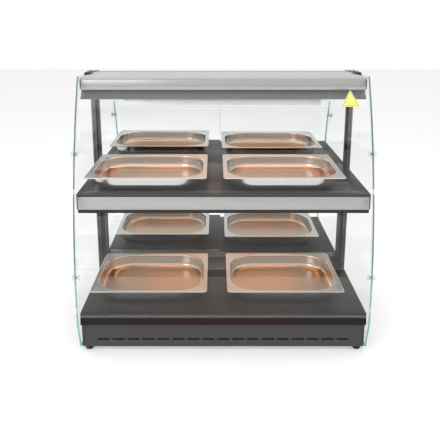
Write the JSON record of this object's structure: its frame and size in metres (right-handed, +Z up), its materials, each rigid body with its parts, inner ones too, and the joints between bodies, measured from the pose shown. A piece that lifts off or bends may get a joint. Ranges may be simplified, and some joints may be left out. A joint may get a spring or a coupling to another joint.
{
  "type": "heated food display case",
  "caption": "Countertop heated self-service display case with curved glass sides, two lit tiers, steel pans, lift-up flaps and mirrored rear doors.",
  "frame": {"origin": "centre of the footprint, on the counter", "axes": "+X along the front to the viewer's right, -Y the customer side, +Y the staff side, +Z up"},
  "size_m": [0.822, 0.45, 0.735],
  "materials": {
    "anthracite_paint": "satin powder coat",
    "zinc_sheet": "galvanised sheet",
    "black_paint": "satin black",
    "grey_paint": "satin grey",
    "light_paint": "satin light grey",
    "brushed_aluminium": "brushed along X",
    "reflector_aluminium": "satin",
    "post_aluminium": "dark anodised",
    "clear_glass": "polished, green edges",
    "clear_acrylic": "clear acrylic",
    "mirror_glass": "mirrored glass",
    "stainless_pan": "satin stainless steel",
    "black_plastic": "fine grain",
    "rubber": "matt rubber",
    "soft_clear_pad": "clear bumper",
    "stainless_fastener": "satin",
    "guard_wire": "bright wire",
    "quartz_lamp": "glowing quartz tube",
    "ceramic": "glazed steatite",
    "heater_mat": "silicone heating mat",
    "mineral_board": "mineral board",
    "yellow_label": "printed film",
    "red_rocker": "translucent",
    "green_rocker": "translucent",
    "thermostat_case": "moulded case"
  },
  "bodies": {
    "case": {"base_housing": "anthracite_paint", "deck_plate": "anthracite_paint", "shelf_plate": "anthracite_paint", "control_panel": "anthracite_paint", "bottom_plate": "zinc_sheet", "shelf_housing": "black_paint", "roof_fascia": "grey_paint", "roof_panel": "light_paint", "roof_housing": "light_paint", "shelf_front_profile": "brushed_aluminium", "roof_front_profile": "brushed_aluminium", "upper_reflector": "reflector_aluminium", "lower_reflector": "reflector_aluminium", "left_rear_post": "post_aluminium", "right_rear_post": "post_aluminium", "rear_top_rail": "post_aluminium", "rear_middle_rail": "post_aluminium", "rear_bottom_rail": "post_aluminium", "left_side_glass": "clear_glass", "right_side_glass": "clear_glass", "upper_front_glass": "clear_glass", "lower_front_glass": "clear_glass", "pane_clips": "clear_acrylic", "shelf_end_caps": "black_plastic", "roof_end_caps": "black_plastic", "glass_top_clips": "black_plastic", "switch_frames": "black_plastic", "power_inlet": "black_plastic", "rubber_feet": "rubber", "flap_stop_pads": "soft_clear_pad", "glass_bolts": "stainless_fastener", "flap_pivot_pins": "stainless_fastener", "roof_screws": "stainless_fastener", "upper_lamp_guard": "guard_wire", "lower_lamp_guard": "guard_wire", "upper_lamp_tube": "quartz_lamp", "lower_lamp_tube": "quartz_lamp", "lamp_holders": "ceramic", "terminal_block": "ceramic", "deck_heater": "heater_mat", "insulation_board": "mineral_board", "hot_surface_label": "yellow_label", "thermostat_body": "thermostat_case"},
    "door_upper_left": {"upper_left_door": "mirror_glass", "upper_left_pull": "black_plastic"},
    "door_upper_right": {"upper_right_door": "mirror_glass", "upper_right_pull": "black_plastic"},
    "door_lower_left": {"lower_left_door": "mirror_glass", "lower_left_pull": "black_plastic"},
    "door_lower_right": {"lower_right_door": "mirror_glass", "lower_right_pull": "black_plastic"},
    "upper_flap": {"upper_flap": "clear_acrylic"},
    "lower_flap": {"lower_flap": "clear_acrylic"},
    "upper_left_pan": {"upper_left_pan": "stainless_pan"},
    "upper_right_pan": {"upper_right_pan": "stainless_pan"},
    "lower_left_pan": {"lower_left_pan": "stainless_pan"},
    "lower_right_pan": {"lower_right_pan": "stainless_pan"},
    "thermostat_knob": {"thermostat_knob": "black_plastic"},
    "power_rocker": {"power_rocker": "red_rocker"},
    "lamp_rocker": {"lamp_rocker": "green_rocker"}
  },
  "joints": [
    {"name": "upper_left_door_slide", "type": "slide", "parent": "case", "child": "door_upper_left", "axis": [1, 0, 0], "range_m": [0, 0.365]},
    {"name": "lower_left_door_slide", "type": "slide", "parent": "case", "child": "door_lower_left", "axis": [1, 0, 0], "range_m": [0, 0.365]},
    {"name": "upper_right_door_slide", "type": "slide", "parent": "case", "child": "door_upper_right", "axis": [-1, 0, 0], "range_m": [0, 0.365]},
    {"name": "lower_right_door_slide", "type": "slide", "parent": "case", "child": "door_lower_right", "axis": [-1, 0, 0], "range_m": [0, 0.365]},
    {"name": "upper_flap_hinge", "type": "hinge", "parent": "case", "child": "upper_flap", "pos_m": [0, -0.12916, 0.54046], "axis": [-1, 0, 0], "range_deg": [0, 70]},
    {"name": "lower_flap_hinge", "type": "hinge", "parent": "case", "child": "lower_flap", "pos_m": [0, -0.19553, 0.22234], "axis": [-1, 0, 0], "range_deg": [0, 70]},
    {"name": "upper_left_pan_lift", "type": "slide", "parent": "case", "child": "upper_left_pan", "axis": [0, 0, 1], "range_m": [0, 0.06]},
    {"name": "upper_right_pan_lift", "type": "slide", "parent": "case", "child": "upper_right_pan", "axis": [0, 0, 1], "range_m": [0, 0.06]},
    {"name": "lower_left_pan_lift", "type": "slide", "parent": "case", "child": "lower_left_pan", "axis": [0, 0, 1], "range_m": [0, 0.06]},
    {"name": "lower_right_pan_lift", "type": "slide", "parent": "case", "child": "lower_right_pan", "axis": [0, 0, 1], "range_m": [0, 0.06]},
    {"name": "thermostat_turn", "type": "hinge", "parent": "case", "child": "thermostat_knob", "pos_m": [0.13, 0.2075, 0.06], "axis": [0, -1, 0], "range_deg": [0, 270]},
    {"name": "power_rock", "type": "hinge", "parent": "case", "child": "power_rocker", "pos_m": [0.245, 0.2075, 0.06], "axis": [-1, 0, 0], "range_deg": [0, 14]},
    {"name": "lamp_rock", "type": "hinge", "parent": "case", "child": "lamp_rocker", "pos_m": [0.195, 0.2075, 0.06], "axis": [-1, 0, 0], "range_deg": [0, 14]}
  ]
}
